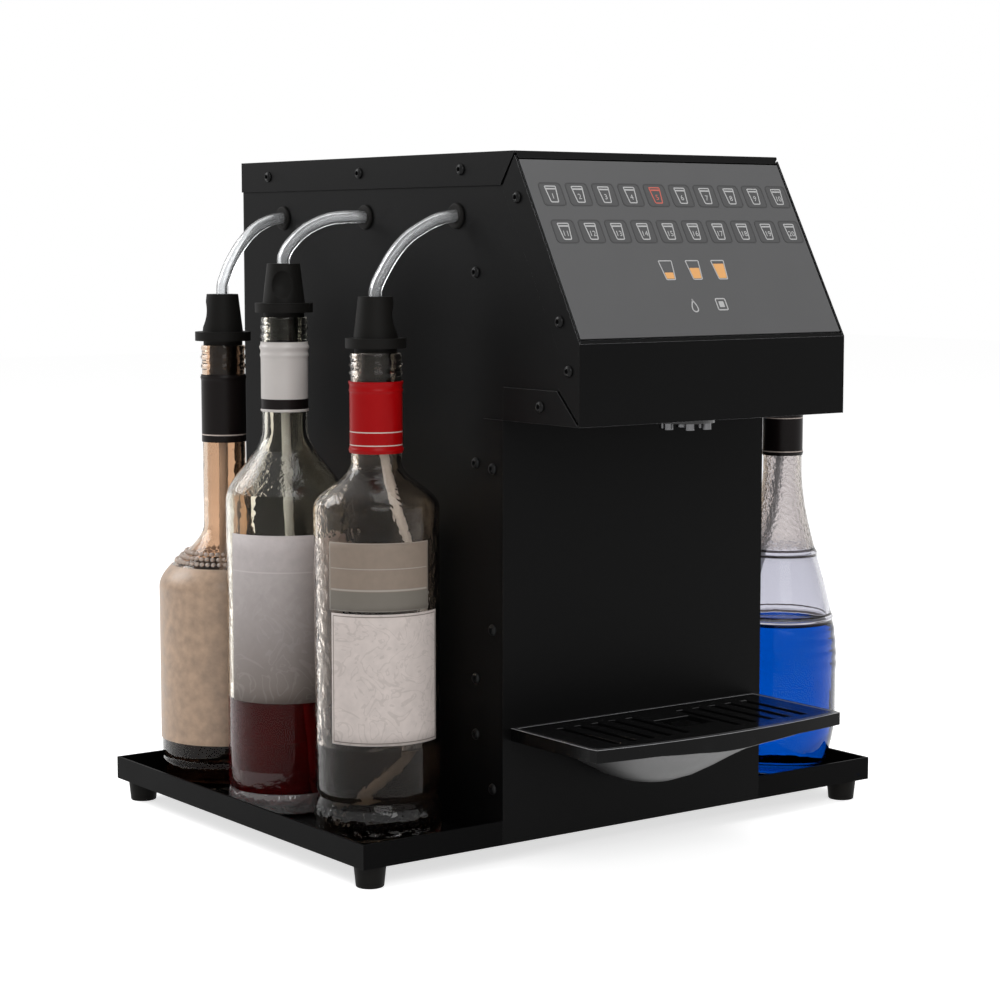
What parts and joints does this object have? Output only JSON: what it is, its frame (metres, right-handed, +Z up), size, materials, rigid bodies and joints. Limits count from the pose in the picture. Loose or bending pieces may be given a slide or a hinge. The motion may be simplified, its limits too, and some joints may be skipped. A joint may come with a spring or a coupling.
{
  "type": "cocktail machine",
  "caption": "Counter-top cocktail machine: black column with sloping touch panel, bottles in its tray piped to internal pumps, nozzle over a removable drip tray.",
  "frame": {"origin": "on the table under the middle of the machine's box", "axes": "+Z up, -Y towards the person pouring, +X to the right of the machine seen from the front"},
  "size_m": [0.413, 0.399, 0.434],
  "materials": {
    "black_steel": "satin black powder coat",
    "touch_glass": "dark glossy touch overlay",
    "circuit_board": "green solder mask",
    "black_rubber": "moulded rubber",
    "screw_steel": "blackened steel",
    "nozzle_plastic": "grey food-grade plastic",
    "tip_steel": "bright steel",
    "bracket_steel": "bare sheet steel",
    "pump_plastic": "grey moulding",
    "clear_plastic": "clear moulding",
    "clear_silicone": "clear silicone",
    "standoff_brass": "turned",
    "supply_aluminium": "pressed sheet",
    "black_plastic": "black moulding",
    "rocker_plastic": "red moulding",
    "rotor_plastic": "white moulding",
    "drip_plastic": "glossy black moulding",
    "bottle_glass": "clear glass"
  },
  "bodies": {
    "machine": {"base_tray": "black_steel", "rubber_feet": "black_rubber", "left_side_panel": "black_steel", "right_side_panel": "black_steel", "top_cover": "black_steel", "rear_panel": "black_steel", "front_panel": "black_steel", "head_cover": "black_steel", "head_floor": "black_steel", "touch_panel": "touch_glass", "touch_board": "circuit_board", "hose_grommets": "black_rubber", "casing_screws": "screw_steel", "nozzle_manifold": "nozzle_plastic", "nozzle_tips": "tip_steel", "pump_bracket": "bracket_steel", "pump_motors": "bracket_steel", "pump_heads": "pump_plastic", "pump_covers": "clear_plastic", "pump_hoses": "clear_silicone", "control_board": "circuit_board", "board_standoffs": "standoff_brass", "power_supply": "supply_aluminium", "power_inlet": "black_plastic", "switch_frame": "black_plastic", "drip_socket": "bracket_steel", "hose_left_front": "clear_silicone", "hose_left_middle": "clear_silicone", "hose_left_rear": "clear_silicone", "hose_right_front": "clear_silicone", "hose_right_middle": "clear_silicone", "hose_right_rear": "clear_silicone"},
    "drip_tray": {"drip_tray": "drip_plastic"},
    "drip_grille": {"drip_grille": "drip_plastic"},
    "switch_rocker": {"switch_rocker": "rocker_plastic"},
    "left_front_bottle": {"bottle_left_front": "bottle_glass", "stopper_left_front": "black_rubber", "dip_tube_left_front": "clear_silicone"},
    "left_middle_bottle": {"bottle_left_middle": "bottle_glass", "stopper_left_middle": "black_rubber", "dip_tube_left_middle": "clear_silicone"},
    "left_rear_bottle": {"bottle_left_rear": "bottle_glass", "stopper_left_rear": "black_rubber", "dip_tube_left_rear": "clear_silicone"},
    "right_front_bottle": {"bottle_right_front": "bottle_glass", "stopper_right_front": "black_rubber", "dip_tube_right_front": "clear_silicone"},
    "right_middle_bottle": {"bottle_right_middle": "bottle_glass", "stopper_right_middle": "black_rubber", "dip_tube_right_middle": "clear_silicone"},
    "right_rear_bottle": {"bottle_right_rear": "bottle_glass", "stopper_right_rear": "black_rubber", "dip_tube_right_rear": "clear_silicone"},
    "pump_rotor_left_front": {"pump_rotor_left_front": "rotor_plastic"},
    "pump_rotor_left_middle": {"pump_rotor_left_middle": "rotor_plastic"},
    "pump_rotor_left_rear": {"pump_rotor_left_rear": "rotor_plastic"},
    "pump_rotor_right_front": {"pump_rotor_right_front": "rotor_plastic"},
    "pump_rotor_right_middle": {"pump_rotor_right_middle": "rotor_plastic"},
    "pump_rotor_right_rear": {"pump_rotor_right_rear": "rotor_plastic"}
  },
  "joints": [
    {"name": "left_front_bottle_lift", "type": "slide", "parent": "machine", "child": "left_front_bottle", "axis": [0, 0, 1], "range_m": [0, 0.045], "deforming": ["hose_left_front"]},
    {"name": "left_middle_bottle_lift", "type": "slide", "parent": "machine", "child": "left_middle_bottle", "axis": [0, 0, 1], "range_m": [0, 0.045], "deforming": ["hose_left_middle"]},
    {"name": "left_rear_bottle_lift", "type": "slide", "parent": "machine", "child": "left_rear_bottle", "axis": [0, 0, 1], "range_m": [0, 0.045], "deforming": ["hose_left_rear"]},
    {"name": "right_front_bottle_lift", "type": "slide", "parent": "machine", "child": "right_front_bottle", "axis": [0, 0, 1], "range_m": [0, 0.045], "deforming": ["hose_right_front"]},
    {"name": "right_middle_bottle_lift", "type": "slide", "parent": "machine", "child": "right_middle_bottle", "axis": [0, 0, 1], "range_m": [0, 0.045], "deforming": ["hose_right_middle"]},
    {"name": "right_rear_bottle_lift", "type": "slide", "parent": "machine", "child": "right_rear_bottle", "axis": [0, 0, 1], "range_m": [0, 0.045], "deforming": ["hose_right_rear"]},
    {"name": "drip_tray_pull", "type": "slide", "parent": "machine", "child": "drip_tray", "axis": [0, -1, 0], "range_m": [0, 0.12]},
    {"name": "drip_grille_lift", "type": "slide", "parent": "drip_tray", "child": "drip_grille", "axis": [0, 0, 1], "range_m": [0, 0.06]},
    {"name": "power_switch", "type": "hinge", "parent": "machine", "child": "switch_rocker", "pos_m": [0.074, 0.196, 0.106], "axis": [1, 0, 0], "range_deg": [-20, 0]},
    {"name": "pump_left_front", "type": "hinge", "parent": "machine", "child": "pump_rotor_left_front", "pos_m": [-0.0512, -0.0445, 0.252], "axis": [1, 0, 0], "continuous": true},
    {"name": "pump_left_middle", "type": "hinge", "parent": "machine", "child": "pump_rotor_left_middle", "pos_m": [-0.0512, 0.0565, 0.252], "axis": [1, 0, 0], "continuous": true},
    {"name": "pump_left_rear", "type": "hinge", "parent": "machine", "child": "pump_rotor_left_rear", "pos_m": [-0.0512, 0.1575, 0.252], "axis": [1, 0, 0], "continuous": true},
    {"name": "pump_right_front", "type": "hinge", "parent": "machine", "child": "pump_rotor_right_front", "pos_m": [0.0512, -0.0445, 0.252], "axis": [1, 0, 0], "continuous": true},
    {"name": "pump_right_middle", "type": "hinge", "parent": "machine", "child": "pump_rotor_right_middle", "pos_m": [0.0512, 0.0565, 0.252], "axis": [1, 0, 0], "continuous": true},
    {"name": "pump_right_rear", "type": "hinge", "parent": "machine", "child": "pump_rotor_right_rear", "pos_m": [0.0512, 0.1575, 0.252], "axis": [1, 0, 0], "continuous": true}
  ]
}
